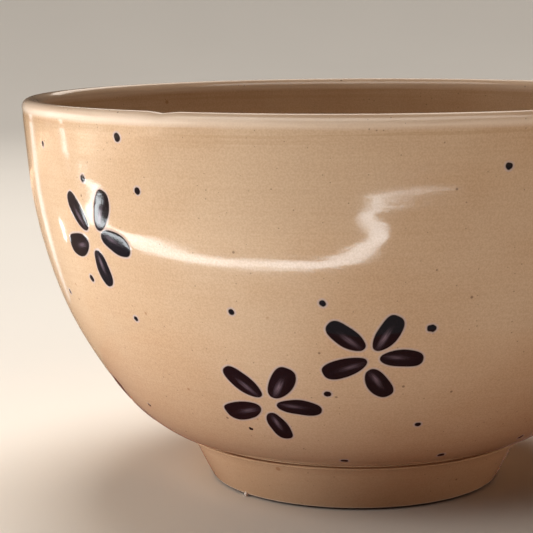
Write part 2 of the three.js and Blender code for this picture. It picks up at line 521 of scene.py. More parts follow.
def measured_flower(number):
    """A flower's middle, the radius there, and each stroke's start, direction, length, width."""
    clouds = [unrolled(f"flower_{number}_petal_{place}") for place in PLACES]
    turn = clouds[0][0, 0]
    for cloud in clouds:
        cloud[:, 0] = turn + (cloud[:, 0] - turn + math.pi) % (2 * math.pi) - math.pi
    middles = [(cloud.min(axis=0) + cloud.max(axis=0)) / 2 for cloud in clouds]
    middle = np.mean(middles, axis=0)
    radius = float(np.interp(middle[1], outer_reach, outer_line[:, 0]))
    strokes = []
    for cloud in clouds:
        flat = (cloud - middle) * (radius, 1)
        centre = flat.mean(axis=0)
        _, _, axes = np.linalg.svd(flat - centre)
        away = axes[0] * np.sign(axes[0] @ centre)
        reach = flat @ away
        side = np.array([away[1], -away[0]])
        across = flat @ side
        start = away * reach.min() + side * (across.min() + across.max()) / 2
        strokes.append((start, math.atan2(away[1], away[0]), np.ptp(reach), np.ptp(across)))
    return middle, radius, strokes


flowers = [measured_flower(number) for number in range(1, flower_count + 1)]
for middle, radius, strokes in flowers[:3]:
    lengths = [round(length / MM, 1) for _, _, length, _ in strokes]
    print("a flower at azimuth", round(math.degrees(middle[0]), 1), "has strokes", lengths, "mm long")

# %% [markdown]
# ## A brush mark
#
# A loaded round brush pressed down and lifted leaves a rounded mark: pointed where it lands,
# fuller towards the far end. Pigment is thickest at the edge, and along the middle, where
# the hairs parted, the clay shows through as a paler streak. Under the glaze the edge bleeds
# a little, as a bluish halo. A mark could be a patch of colour on the shell, but real
# pigment stands a little proud and catches the light, so each is a thin mesh of its own.
#
# Each mark is a fan of rings on the flat. The inner rings carry the paint and the outer ones
# fade back into bare glaze and dip just under it, so no seam shows. Paint, bleed and streak
# are stored as numbers on the corners, and the finish reads them.

# %% Describe the habit of the hand
# (point at the landing end, point at the far end, fullness to the far end, bow, streak)
HABITS = {
    "upper_left": (0.9, 0.78, 0.03, 0.02, 0.7),
    "upper_right": (0.86, 0.72, 0.08, -0.03, 0.9),
    "right": (0.95, 0.8, 0.05, 0.03, 0.6),
    "lower": (0.85, 0.75, 0.02, -0.03, 0.8),
    "left": (0.92, 0.72, 0.08, 0.02, 0.6),
}
DOT_HABIT = (0.9, 0.9, 0.0, 0.0, 0.0)
RING_SHARES = (0.0, 0.22, 0.42, 0.6, 0.74, 0.85)
EDGE_OFFSETS = (-0.3, -0.1, 0.06, 0.2, 0.62, 1.05)
EDGE_PAINT = (1.0, 1.0, 0.85, 0.15, 0.0, 0.0)
EDGE_BLEED = (0.0, 0.0, 0.3, 1.0, 0.9, 0.0)
EDGE_LIFTS = (0.09, 0.075, 0.05, 0.035, 0.025, -0.02)
CENTRE_LIFT = 0.14
FULL_LIFT_WIDTH = 5 * MM
MARK_SIDES = 56
HAND_SEED = 7

hand = np.random.default_rng(HAND_SEED)


def mark_outline(length, width, habit, shake):
    """The outline of a brush mark on the flat, from where the brush lands (0, 0), along x."""
    sharp_start, sharp_end, fullness, bow, _ = habit
    angle = np.linspace(0, 2 * math.pi, MARK_SIDES, endpoint=False)
    forward = np.cos(angle)
    sharp = sharp_start + (sharp_end - sharp_start) * (forward + 1) / 2
    side = np.sign(np.sin(angle)) * np.abs(np.sin(angle)) ** sharp
    ripple = 1 + shake * sum(hand.normal() * np.sin(k * angle + 6.3 * hand.random()) for k in (2, 3, 5))
    x = length / 2 * (1 + forward * (1 + 0.3 * (ripple - 1)))
    y = width / 2 * side * (1 + fullness * 2 * forward) * ripple
    return x, y + bow * length * (1 - forward**2)


print("a mark has", len(RING_SHARES) + len(EDGE_OFFSETS), "rings of", MARK_SIDES, "points")

# %% [markdown]
# Where a stroke starts and which way it runs come from the frame. All the strokes of one
# flower share a mesh, as they share one load of paint.


# %% Lay brush marks on the wall
def new_brushwork():
    """An empty sheet that brush marks are laid on."""
    return {"points": [], "faces": [], "paint": [], "bleed": [], "streak": [], "hairs": []}


def lay_mark(sheet, middle, radius, start, direction, length, width, habit, shake=0.02):
    """Adds one brush mark, which starts at an offset from a middle on the wall."""
    x, y = mark_outline(length, width, habit, shake)
    ahead = np.stack([np.roll(x, -1) - np.roll(x, 1), np.roll(y, -1) - np.roll(y, 1)], axis=1)
    ahead /= np.linalg.norm(ahead, axis=1)[:, None]
    outline = np.stack([x, y], axis=1)
    outwards = np.stack([ahead[:, 1], -ahead[:, 0]], axis=1)
    heart = np.array([length / 2, habit[3] * length])
    flat, paint, bleed, lifts = [], [], [], []
    for share in RING_SHARES:
        flat.append(heart + share * (outline + outwards * EDGE_OFFSETS[0] * MM - heart))
        paint.append(1.0)
        bleed.append(0.0)
        lifts.append(CENTRE_LIFT + (EDGE_LIFTS[0] - CENTRE_LIFT) * share**2)
    for offset, p, b, lift in zip(EDGE_OFFSETS, EDGE_PAINT, EDGE_BLEED, EDGE_LIFTS):
        flat.append(outline + outwards * offset * MM)
        paint.append(p)
        bleed.append(b)
        lifts.append(lift)
    rings = len(flat)
    flat = np.concatenate(flat)
    c, s = math.cos(direction), math.sin(direction)
    level = start[0] + flat[:, 0] * c - flat[:, 1] * s
    upward = start[1] + flat[:, 0] * s + flat[:, 1] * c
    lifts = np.repeat(lifts, MARK_SIDES) * MM * min(1.0, width / FULL_LIFT_WIDTH)
    points = on_wall(middle[0] + level / radius, middle[1] + upward, lifts)
    first = len(sheet["paint"])
    sheet["points"].extend(points.tolist())
    sheet["paint"].extend(np.repeat(paint, MARK_SIDES).tolist())
    sheet["bleed"].extend(np.repeat(bleed, MARK_SIDES).tolist())
    t, w = flat[:, 0] / length, (flat[:, 1] - habit[3] * length) / width
    pale = habit[4] * np.exp(-(((t - 0.36) / 0.26) ** 2) - ((w - 0.04) / 0.13) ** 2)
    sheet["streak"].extend(pale.tolist())
    sheet["hairs"].extend(np.stack([t + first, w, np.zeros(len(t))], axis=1).tolist())
    for ring in range(rings - 1):
        low, high = first + ring * MARK_SIDES, first + (ring + 1) * MARK_SIDES
        for i in range(MARK_SIDES):
            j = (i + 1) % MARK_SIDES
            if ring == 0:
                sheet["faces"].append([low, high + i, high + j])
            else:
                sheet["faces"].append([low + i, high + i, high + j, low + j])


def brushwork_piece(name, sheet):
    """Turns a sheet of brush marks into a piece, with its numbers as attributes."""
    used = sorted({i for face in sheet["faces"] for i in face})
    renumber = {old: new for new, old in enumerate(used)}
    points = [sheet["points"][i] for i in used]
    piece = mesh_object(name, points, [[renumber[i] for i in face] for face in sheet["faces"]])
    for kind in ("paint", "bleed", "streak"):
        values = piece.data.attributes.new(kind, "FLOAT", "POINT")
        values.data.foreach_set("value", [sheet[kind][i] for i in used])
    hairs = piece.data.attributes.new("hairs", "FLOAT_VECTOR", "POINT")
    hairs.data.foreach_set("vector", np.array([sheet["hairs"][i] for i in used]).ravel())
    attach(piece, "root")
    return piece


painted = []
for number, (middle, radius, strokes) in enumerate(flowers, start=1):
    sheet = new_brushwork()
    for place, (start, direction, length, width) in zip(PLACES, strokes):
        lay_mark(sheet, middle, radius, start, direction, length, width, HABITS[place])
    flower = brushwork_piece(f"painted_flower_{number}", sheet)
    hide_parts(*(f"flower_{number}_petal_{place}" for place in PLACES))
    painted.append(flower)
print(len(painted), "flowers, each with", len(painted[0].data.polygons), "faces")

# %% [markdown]
# ## The dots
#
# Between the flowers the painter touched the wall with the tip of the brush. Each touch is a
# short fat mark, from 1 to 3 mm long. Those on the front have a place each. The back
# gets the same number to a hand's breadth, thrown at random but kept off the petals.

# %% Touch in the dots
# (azimuth in degrees, height in mm, size in mm, lean in degrees)
FRONT_DOTS = [
    (-60.4, 149.2, 1.9, 80), (-37.9, 155.0, 2.9, -65), (-47.2, 138.4, 2.6, -60),
    (-34.6, 135.8, 2.4, -60), (-50.2, 98.8, 2.4, -60), (-62.7, 89.2, 1.7, -60),
    (-40.5, 85.4, 1.8, -50), (-20.0, 92.8, 2.1, -70), (-52.9, 43.3, 1.7, 0),
    (-22.6, 42.4, 1.7, -40), (-4.9, 97.6, 2.2, -60), (12.5, 87.5, 3.0, 0),
    (-4.9, 60.9, 2.4, 0), (13.0, 46.6, 2.0, 0), (-2.5, 28.0, 2.4, 0),
    (22.1, 29.2, 2.4, 20), (45.8, 31.5, 2.2, 0), (22.8, 145.8, 2.4, 0),
]
BACK_DOTS = 44
BACK_FROM, BACK_TO = math.radians(56), math.radians(282)
KEEP_OFF = 21 * MM
KEEP_APART = 17 * MM
BACK_HEIGHTS = (28, 152)
BACK_SIZES = (1.7, 2.9)
BACK_LEANS = (-1.2, 0.4)


def apart(one, other):
    """The distance along the wall between two places on it."""
    turn = (one[0] - other[0] + math.pi) % (2 * math.pi) - math.pi
    radius = np.interp((one[1] + other[1]) / 2, outer_reach, outer_line[:, 0])
    return math.hypot(turn * radius, one[1] - other[1])


dots = [
    (math.radians(azimuth), reach_at(height * MM), size * MM, math.radians(lean))
    for azimuth, height, size, lean in FRONT_DOTS
]
middles = [tuple(middle) for middle, _, _ in flowers]
while len(dots) < len(FRONT_DOTS) + BACK_DOTS:
    spot = (hand.uniform(BACK_FROM, BACK_TO), reach_at(hand.uniform(*BACK_HEIGHTS) * MM))
    clear = all(apart(spot, middle) > KEEP_OFF for middle in middles)
    if clear and all(apart(spot, dot) > KEEP_APART for dot in dots):
        dots.append((*spot, hand.uniform(*BACK_SIZES) * MM, hand.uniform(*BACK_LEANS)))

sheet = new_brushwork()
for azimuth, along, size, lean in dots:
    radius = float(np.interp(along, outer_reach, outer_line[:, 0]))
    back = (-size / 2 * math.cos(lean), -size / 2 * math.sin(lean))
    lay_mark(sheet, (azimuth, along), radius, back, lean, 1.08 * size, size, DOT_HABIT, shake=0.05)
painted.append(brushwork_piece("painted_dots", sheet))
print(len(dots), "dots, of which", len(FRONT_DOTS), "have places of their own")

# %% [markdown]
# ## The glaze
#
# Stoneware clay is buff, with iron in it that burns out as fine dark specks. A clear glaze
# turns it glossy. It pools a little darker in the corner over the foot, and thins over the
# lip, where the clay shows paler. The wall is darker low down, partly toasted by the fire and
# partly painted shade. A painted picture could be wrapped round the bowl, but it would show
# its seam and its dots close up.
# Here all of it is worked out from each point's place on the bowl, so one recipe serves
# every piece and the colours run on unbroken from the clay to the paint.
#
# These small helpers keep a recipe readable: each adds one node and gives back its output.


# %% Helpers for mixing finishes
def add_node(tree, kind, settings=None, **inputs):
    """Adds a node with settings. Inputs are values or other nodes' outputs, by name."""
    node = tree.nodes.new(kind)
    for name, value in (settings or {}).items():
        setattr(node, name, value)
    for name, value in inputs.items():
        plug(tree, node.inputs[name.replace("_", " ").title()], value)
    return node


def plug(tree, socket, value):
    """Links an output to a socket, or sets the socket's own value."""
    if isinstance(value, bpy.types.NodeSocket):
        tree.links.new(value, socket)
    else:
        socket.default_value = value


def math_node(tree, operation, *values):
    """Arithmetic on one, two or three values."""
    node = tree.nodes.new("ShaderNodeMath")
    node.operation = operation
    for socket, value in zip(node.inputs, values):
        plug(tree, socket, value)
    return node.outputs[0]


def blend_colours(tree, share, one, other, how="MIX"):
    """A share of one colour laid over another."""
    node = tree.nodes.new("ShaderNodeMix")
    node.data_type = "RGBA"
    node.blend_type = how
    for socket, value in zip((node.inputs[0], node.inputs[6], node.inputs[7]), (share, one, other)):
        plug(tree, socket, value)
    return node.outputs[2]


def fade(tree, value, start, end, low=0.0, high=1.0):
    """A smooth change from low to high as a value goes from start to end."""
    node = tree.nodes.new("ShaderNodeMapRange")
    node.interpolation_type = "SMOOTHSTEP"
    for socket, setting in zip(node.inputs, (value, start, end, low, high)):
        plug(tree, socket, setting)
    return node.outputs[0]


def mottle(tree, place, scale, detail=2.0):
    """Soft random patches, about 1/scale metres across."""
    return add_node(tree, "ShaderNodeTexNoise", Vector=place, Scale=scale, Detail=detail).outputs[0]


def stretched(tree, place, scales):
    """A place multiplied by a scale along each axis, for patterns that are drawn out."""
    node = add_node(tree, "ShaderNodeVectorMath", {"operation": "MULTIPLY"})
    plug(tree, node.inputs[0], place)
    node.inputs[1].default_value = scales
    return node.outputs[0]


# %% [markdown]
# Specks are the hardest part to get right, because real ones differ in size and are far
# apart. Space is cut into cells with one seed point in each. The distance to the seed gives
# a round speck, and a random number for the cell decides if it has one at all.

# %% Specks in the clay
IRON = (0.115, 0.055, 0.025, 1)
RUST = (0.34, 0.15, 0.05, 1)

# (spacing in mm, size in mm, share of cells that have one, strength, colour)
SPECKLES = [
    (2.6, 0.4, 0.4, 0.45, IRON),
    (6, 0.75, 0.36, 0.6, IRON),
    (15, 1.3, 0.45, 0.55, RUST),
]


def specks(tree, place, spacing, size, share):
    """1 inside a speck and 0 outside: spacing and size in metres, share of cells that have one."""
    cells = add_node(tree, "ShaderNodeTexVoronoi", Vector=place, Scale=1 / spacing)
    luck = add_node(tree, "ShaderNodeSeparateColor", Color=cells.outputs["Color"]).outputs[0]
    big = fade(tree, luck, 1 - share, 1.0, 0.35, 1.0)
    edge = math_node(tree, "MULTIPLY", big, size / spacing)
    inside = math_node(tree, "DIVIDE", cells.outputs["Distance"], edge)
    round_speck = fade(tree, inside, 1.0, 0.55)
    has_one = math_node(tree, "GREATER_THAN", luck, 1 - share)
    return math_node(tree, "MULTIPLY", round_speck, has_one)


print("speck sizes:", [size for _, size, _, _, _ in SPECKLES], "mm")

# %% [markdown]
# The colours are those of the bowl in even light, save for some painted shade low on the
# wall. Each step of the recipe lays one more thing over the last: patches, fine lines, grain,
# the band that the leather wiped, the thin glaze of the lip, the darkening low down that is
# part toast of the fire and part painted shade, the pool and the specks.

# %% The colour of glazed clay
BUFF = (0.66, 0.505, 0.345, 1)
WARM_BUFF = (0.6, 0.43, 0.275, 1)
PALE_LIP = (0.95, 0.84, 0.7, 1)
TOASTED = (0.47, 0.285, 0.15, 1)

# (start, end) of each change: the first two are depths under the rim
WIPED_UNDER_RIM = (16 * MM, 5 * MM)
THIN_UNDER_RIM = (6.2 * MM, 3.6 * MM)
TOAST_AND_SHADE_HEIGHTS = (70 * MM, 15 * MM)
POOL_HEIGHTS = (foot_top + 6 * MM, foot_top - 1 * MM)


def glazed_clay_colour(tree, place, height):
    """The colour of the clay seen through its glaze."""
    patches = fade(tree, mottle(tree, place, 16, 3), 0.35, 0.7)
    colour = blend_colours(tree, patches, BUFF, WARM_BUFF)
    lines = mottle(tree, stretched(tree, place, (9, 9, 1100)), 1.0, 2)
    colour = blend_colours(tree, fade(tree, lines, 0.3, 0.7, 0, 0.09), colour, TOASTED)
    grain = blend_colours(tree, fade(tree, mottle(tree, place, 1500, 2), 0.3, 0.7), IRON, PALE_LIP)
    colour = blend_colours(tree, 0.2, colour, grain, "SOFT_LIGHT")
    near_lip = fade(tree, height, *(rim_height - depth for depth in WIPED_UNDER_RIM), 0, 0.3)
    wiped = mottle(tree, stretched(tree, place, (14, 14, 620)), 1.0, 3)
    wiped = math_node(tree, "MULTIPLY", near_lip, fade(tree, wiped, 0.48, 0.62))
    colour = blend_colours(tree, wiped, colour, TOASTED)
    thin = fade(tree, height, *(rim_height - depth for depth in THIN_UNDER_RIM), 0, 0.66)
    worn = mottle(tree, stretched(tree, place, (20, 20, 500)), 1.0, 3)
    thin = math_node(tree, "MULTIPLY", thin, fade(tree, worn, 0.3, 0.6, 0.65, 1))
    colour = blend_colours(tree, thin, colour, PALE_LIP)
    # Darker low on the wall: partly the fire's toast and partly painted shade, where the lower wall
    # turns down away from the light.
    toast_and_low_shade = fade(tree, height, *TOAST_AND_SHADE_HEIGHTS, 0, 0.22)
    colour = blend_colours(tree, toast_and_low_shade, colour, TOASTED)
    pooled = fade(tree, height, *POOL_HEIGHTS, 0, 0.3)
    colour = blend_colours(tree, pooled, colour, TOASTED)
    for spacing, size, share, strength, tint in SPECKLES:
        spots = specks(tree, place, spacing * MM, size * MM, share)
        colour = blend_colours(tree, math_node(tree, "MULTIPLY", spots, strength), colour, tint)
    return colour


print("the glaze pools below", round(POOL_HEIGHTS[0] / MM, 1), "mm")

# %% [markdown]
# The glaze isn't quite flat. It follows fine throwing lines, ripples as it cools, and is
# pitted where bubbles burst. All of that is far finer than the mesh, so it is bump, while
# everything that bends an outline is in the mesh.

# %% The surface of the glaze
LINE_HEIGHT = 0.016 * MM
RIPPLE_HEIGHT = 0.016 * MM
PIT_DEPTH = 0.0125 * MM


def glaze_relief(tree, place):
    """The height of the glaze's own surface: throwing lines, ripple and fine pitting, in metres."""
    lines = mottle(tree, stretched(tree, place, (18, 18, 420)), 1.0, 2)
    ripple = mottle(tree, place, 240, 1)
    pits = mottle(tree, place, 1000, 2)
    relief = math_node(tree, "MULTIPLY", lines, LINE_HEIGHT)
    relief = math_node(tree, "MULTIPLY_ADD", ripple, RIPPLE_HEIGHT, relief)
    return math_node(tree, "MULTIPLY_ADD", pits, PIT_DEPTH, relief)


print("the deepest pits are", PIT_DEPTH / MM, "mm deep")

# %% [markdown]
# A finish puts colour, gloss and surface together. The glaze stops short of the band
# that the bowl stands on, or it would stick to the kiln's shelf. The undercut beside that
# band is painted near black, as painted shade for the gap under the foot's edge. The drop of
# glaze is milky white, as thick glaze is, and its colour is also a painted glint.

# %% Put a finish together
BARE_CLAY = (0.74, 0.61, 0.47, 1)
# Near-black painted shade for the undercut, where the gap under the foot's edge lies in shadow.
PAINTED_UNDERCUT_SHADE = (0.02, 0.011, 0.006, 1)
GLAZE_WHITE_AND_GLINT = (0.95, 0.9, 0.82, 1)
BARE_BELOW = 1.8 * MM
UNDERCUT_SHADE_STARTS = (0.02 * MM, 0.2 * MM)
UNDERCUT_SHADE_ENDS = (0.9 * MM, 0.7 * MM)
GLAZE_IOR = 1.52


def glazed_clay(name, brushed=False, bare_below=None, pale=False):
    """The finish of a glazed piece. A brushed one reads the numbers of its brush marks too."""
    material = bpy.data.materials.new(name)
    material.use_nodes = True
    tree = material.node_tree
    shader = tree.nodes["Principled BSDF"]
    place = add_node(tree, "ShaderNodeTexCoord").outputs["Object"]
    height = add_node(tree, "ShaderNodeSeparateXYZ", Vector=place).outputs["Z"]
    colour = glazed_clay_colour(tree, place, height)
    rough = fade(tree, mottle(tree, place, 60, 2), 0.3, 0.7, 0.065, 0.11)
    # A pale finish is partly the milky white of thick glaze and partly a painted glint.
    if pale:
        cloudy_and_glint = fade(tree, mottle(tree, place, 900, 2), 0.2, 0.8, 0.7, 1)
        colour = blend_colours(tree, cloudy_and_glint, colour, GLAZE_WHITE_AND_GLINT)
    if brushed:
        colour = brushed_over(tree, colour)
    if bare_below is not None:
        bare = fade(tree, height, bare_below, 0.8 * bare_below)
        colour = blend_colours(tree, bare, colour, BARE_CLAY)
        # Painted shade: the undercut is darkened towards near black in place of the shadow in the gap
        # under the edge.
        above, below = fade(tree, height, *UNDERCUT_SHADE_STARTS), fade(tree, height, *UNDERCUT_SHADE_ENDS)
        undercut_shade = math_node(tree, "MULTIPLY", above, below)
        colour = blend_colours(tree, undercut_shade, colour, PAINTED_UNDERCUT_SHADE)
        rough = math_node(tree, "MULTIPLY_ADD", bare, 0.6, rough)
    relief = glaze_relief(tree, place)
    bump = add_node(tree, "ShaderNodeBump", Strength=1.0, Distance=1.0, Height=relief)
    plug(tree, shader.inputs["Base Color"], colour)
    plug(tree, shader.inputs["Roughness"], rough)
    plug(tree, shader.inputs["Normal"], bump.outputs[0])
    shader.inputs["IOR"].default_value = GLAZE_IOR
    return material


print("bare clay shows below", round(BARE_BELOW / MM, 1), "mm")

# %% [markdown]
# ## The indigo
#
# The stain is a dense blue-black. Where it is thin the clay lifts it to a greyish violet:
# along the streak, and in hair lines that run the way the brush went.

# %% The brushed stain
INDIGO = (0.004, 0.0022, 0.005, 1)
THIN_INDIGO = (0.28, 0.21, 0.26, 1)
HAIR_INDIGO = (0.015, 0.009, 0.016, 1)
BLEED_BLUE = (0.56, 0.5, 0.55, 1)
BLEED_STRENGTH = 0.5


def attribute(tree, name):
    """A number that was stored on the corners of a mesh."""
    return add_node(tree, "ShaderNodeAttribute", {"attribute_name": name})


def brushed_over(tree, clay):
    """The colour of brush marks over a colour of clay."""
    hairs = attribute(tree, "hairs").outputs["Vector"]
    hair_lines = mottle(tree, stretched(tree, hairs, (3, 26, 1)), 1.0, 3)
    stain = blend_colours(tree, fade(tree, hair_lines, 0.45, 0.8), INDIGO, HAIR_INDIGO)
    streak = math_node(tree, "POWER", attribute(tree, "streak").outputs["Fac"], 1.7)
    streak = math_node(tree, "MULTIPLY", streak, fade(tree, hair_lines, 0.25, 0.7, 0.4, 1.15))
    stain = blend_colours(tree, streak, stain, THIN_INDIGO)
    bleed = math_node(tree, "MULTIPLY", attribute(tree, "bleed").outputs["Fac"], BLEED_STRENGTH)
    clay = blend_colours(tree, bleed, clay, BLEED_BLUE)
    return blend_colours(tree, attribute(tree, "paint").outputs["Fac"], clay, stain)


thrown_shell.data.materials.append(glazed_clay("glaze_on_shell"))
turned_foot.data.materials.append(glazed_clay("glaze_on_foot", bare_below=BARE_BELOW))
rolled_bead.data.materials.append(glazed_clay("glaze_on_bead"))
# The drop is near white, partly thick glaze and partly a painted glint.
frozen_drop.data.materials.append(glazed_clay("glaze_in_drop", pale=True))
stain_under_glaze = glazed_clay("stain_under_glaze", brushed=True)
for piece in painted:
    piece.data.materials.append(stain_under_glaze)
print("finishes:", [material.name for material in bpy.data.materials if material.users])

# %% [markdown]
# ## The studio
#
# The bowl stands on plain pale paper, a floor that curves up into a wall on every side with
# no corner. The paper has no shine, so that nothing of the studio shows in it, and from
# below it is clear, so that the underside of the bowl can be looked at.

# %% Lay the floor
PAPER = (0.78, 0.74, 0.68, 1)
PAPER_REACH = 3.2
PAPER_RISE = 3.4
PAPER_BEND = 1.2


def round_sweep(name, reach, rise, bend_radius):
    """A round floor that curves up into a wall on every side."""
    flat_reach = reach - bend_radius
    line = [(radius, 0.0) for radius in np.linspace(0.5, flat_reach, 6)]
    for angle in np.linspace(0, math.pi / 2, 24)[1:]:
        radius = flat_reach + bend_radius * math.sin(angle)
        line.append((radius, bend_radius * (1 - math.cos(angle))))
    line.append((reach, rise))
    turns = np.linspace(0, 2 * math.pi, 96, endpoint=False)
    vertices = [(r * math.cos(t), r * math.sin(t), z) for r, z in line for t in turns]
    count = len(turns)
    faces = [tuple(range(count))]
    for ring in range(0, len(vertices) - count, count):
        faces += [
            (ring + i, ring + count + i, ring + count + (i + 1) % count, ring + (i + 1) % count)
            for i in range(count)
        ]
    made = mesh_object(name, vertices, faces)
    made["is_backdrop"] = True
    return made


def plain_finish(name, colour, roughness):
    """A plain matt finish with a breath of unevenness, for things of the studio."""
    material = bpy.data.materials.new(name)
    material.use_nodes = True
    tree = material.node_tree
    shader = tree.nodes["Principled BSDF"]
    place = add_node(tree, "ShaderNodeTexCoord").outputs["Object"]
    shade = fade(tree, mottle(tree, place, 3, 2), 0.2, 0.8, 0.97, 1.0)
    plug(tree, shader.inputs["Base Color"], blend_colours(tree, 1.0, colour, shade, "MULTIPLY"))
    shader.inputs["Roughness"].default_value = roughness
    return material


def clear_from_below(material):
    """Makes a finish clear on its back, and takes away its shine."""
    tree = material.node_tree
    shader = tree.nodes["Principled BSDF"]
    shader.inputs["Specular IOR Level"].default_value = 0.0
    from_below = tree.nodes.new("ShaderNodeNewGeometry").outputs["Backfacing"]
    one_sided = add_node(tree, "ShaderNodeMixShader", Fac=from_below)
    plug(tree, one_sided.inputs[1], shader.outputs[0])
    plug(tree, one_sided.inputs[2], tree.nodes.new("ShaderNodeBsdfTransparent").outputs[0])
    plug(tree, tree.nodes["Material Output"].inputs["Surface"], one_sided.outputs[0])
    return material


floor = round_sweep("studio_floor", PAPER_REACH, PAPER_RISE, PAPER_BEND)
floor.data.materials.append(clear_from_below(plain_finish("pale_paper", PAPER, 0.7)))
floor.visible_diffuse = False
floor.visible_glossy = False
floor.visible_shadow = False
print("the paper reaches", PAPER_REACH, "m out from the bowl")

# %% [markdown]
# A bowl like this is shown on a round wooden board, and what its underside and foot pick up
# is the board's brown, not the paper's white. A brown card under the paper does the same.
# It is hidden from the camera, and the paper is hidden from the glaze, so each does one job.

# %% Lay the brown card
BOARD_RADIUS = 193 * MM
TABLE_RADIUS = 2.5
CARD_DEPTH = 0.5 * MM
BOARD_BROWN = (0.27, 0.065, 0.014, 1)
TABLE_BUFF = (0.42, 0.33, 0.25, 1)


def card_ring(name, inner, outer, colour, roughness):
    """A flat ring just under the floor, which only bounces light and shows in the glaze."""
    turns = np.linspace(0, 2 * math.pi, 96, endpoint=False)
    circles = [(r * math.cos(t), r * math.sin(t)) for r in (inner, outer) for t in turns]
    vertices = [(x, y, -CARD_DEPTH) for x, y in circles]
    count = len(turns)
    faces = [(i, (i + 1) % count, count + (i + 1) % count, count + i) for i in range(count)]
    made = mesh_object(name, vertices, [face[::-1] for face in faces], smooth=False)
    made.data.materials.append(plain_finish(name, colour, roughness))
    made.visible_camera = False
    made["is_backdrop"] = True


card_ring("brown_card", 0.001, BOARD_RADIUS, BOARD_BROWN, 0.5)
card_ring("table_card", BOARD_RADIUS, TABLE_RADIUS, TABLE_BUFF, 0.6)
print("the brown card is", round(2 * BOARD_RADIUS / MM), "mm across")

# %% [markdown]
# Pottery in the round needs one strong side and soft light everywhere else. A picture of a
# room could light it all at once, but separate soft lights can be balanced one by one. None
# of them shows in the glaze, and the paper is left to two lights of its own, so that a
# change for the bowl never changes the floor.

# %% Helpers for lights
all_but_floor = bpy.data.collections.new("all_but_floor")
all_but_floor.objects.link(floor)
all_but_floor.collection_objects[0].light_linking.link_state = "EXCLUDE"
floor_only = bpy.data.collections.new("floor_only")
floor_only.objects.link(floor)


def soft_light(name, place, aim, size, power, colour):
    """A soft light that shows neither to the camera nor in the glaze."""
    data = bpy.data.lights.new(name, "AREA")
    data.shape = "RECTANGLE"
    data.size, data.size_y = size
    data.energy = power
    data.color = colour
    made = bpy.data.objects.new(name, data)
    made.location = place
    made.rotation_euler = (Vector(aim) - Vector(place)).to_track_quat("-Z", "Y").to_euler()
    made.visible_glossy = False
    made.visible_camera = False
    made.light_linking.receiver_collection = all_but_floor
    bpy.context.scene.collection.objects.link(made)
    return made


def around(azimuth, away, height):
    """A place at an azimuth in degrees, some way from the bowl's axis."""
    turn = math.radians(azimuth)
    return (away * math.sin(turn), -away * math.cos(turn), height)


print("lights that spare the floor are in", all_but_floor.name)

# %% [markdown]
# The strong side is a pair of low windows on the left. They stand no higher than the rim, so
# they light the outside and leave the inside in calm shade. A third one, high up,
# reaches into the mouth, and a slit of light close to the table is for the foot. The right
# side and the back each get a weaker low window. Panels that lie on the table throw light
# up at the belly of the bowl and hardly reach the foot, and a wide ceiling panel lifts the
# rest. A very faint light inside the foot is there only for a look from below.

# %% Light the bowl
WARM = (1.0, 0.76, 0.6)
DAYLIGHT = (1.0, 0.94, 0.91)
PLAIN = (0.93, 0.95, 1.0)
BELLY = (0, 0, 0.1)
LOW = 0.085
LOW_AIM = (0, 0, LOW)
LOW_WINDOW = (0.9, 0.14)

# (azimuth in degrees, watts) of the panels on the table
PANELS = [
    (-100, 0.75), (-60, 1.1), (-20, 0.46), (20, 0.42), (100, 0.25), (150, 0.5), (-150, 0.6),
]
PANEL_AWAY = 0.43
PANEL_SIZE = (0.34, 0.4)
PANEL_HEIGHT = 4 * MM

soft_light("window_left", around(-75, 1.6, 0.21), BELLY, (0.8, 0.25), 3.9, DAYLIGHT)
soft_light("window_low", around(-110, 1.2, LOW), LOW_AIM, LOW_WINDOW, 3.9, DAYLIGHT)
soft_light("window_high", around(-110, 1.07, 1.29), BELLY, (0.8, 0.6), 2.2, WARM)
soft_light("foot_left", around(-80, 1.0, 0.028), (0, 0, 0.012), (0.7, 0.05), 5.4, DAYLIGHT)
soft_light("right_low", around(50, 1.2, LOW), LOW_AIM, LOW_WINDOW, 2.05, WARM)
soft_light("ceiling", (0, -0.25, 1.7), BELLY, (1.6, 1.6), 12.3, WARM)
for side in (130, 180, -150):
    soft_light(f"behind_{side % 360}", around(side, 1.2, LOW), LOW_AIM, LOW_WINDOW, 4, WARM)

for side, power in PANELS:
    place = around(side, PANEL_AWAY, PANEL_HEIGHT)
    tint = PLAIN if abs(side + 80) < 30 else DAYLIGHT
    panel = soft_light(f"panel_{side % 360}", place, (0, 0, 1), PANEL_SIZE, power, tint)
    panel.rotation_euler = (math.pi, 0, -math.radians(side))

soft_light("in_foot", (0, 0, 1 * MM), (0, 0, 1), (0.06, 0.06), 0.018, PLAIN)

# %% [markdown]
# The paper's two lights hang over the bowl and at the near left, and shine on nothing else.
# The air of the room adds a breath of light from everywhere.

# %% Light the paper
PAPER_LIGHTS = (("over_floor", (0, 0.7, 2.6), 74), ("beside_floor", (-1.6, -1.2, 1.5), 28))
AIR = (1.0, 0.95, 0.9)
AIR_STRENGTH = 0.03

for name, place, power in PAPER_LIGHTS:
    paper_light = soft_light(name, place, (0, 0, 0), (1.6, 1.6), power, AIR)
    paper_light.light_linking.receiver_collection = floor_only

world = bpy.data.worlds.new("studio_air")
world.use_nodes = True
air = world.node_tree.nodes["Background"]
air.inputs["Color"].default_value = (*AIR, 1)
air.inputs["Strength"].default_value = AIR_STRENGTH
bpy.context.scene.world = world
bpy.context.scene.view_settings.view_transform = "Standard"
print("the paper has", len(PAPER_LIGHTS), "lights")

# %% [markdown]
# A glaze comes alive when it mirrors something with an edge. A light that was mirrored as it
# is would need the right power for the clay and the right shape for the glaze at once, so
# the two are kept apart: the glaze mirrors glowing cards, and nothing else sees them.


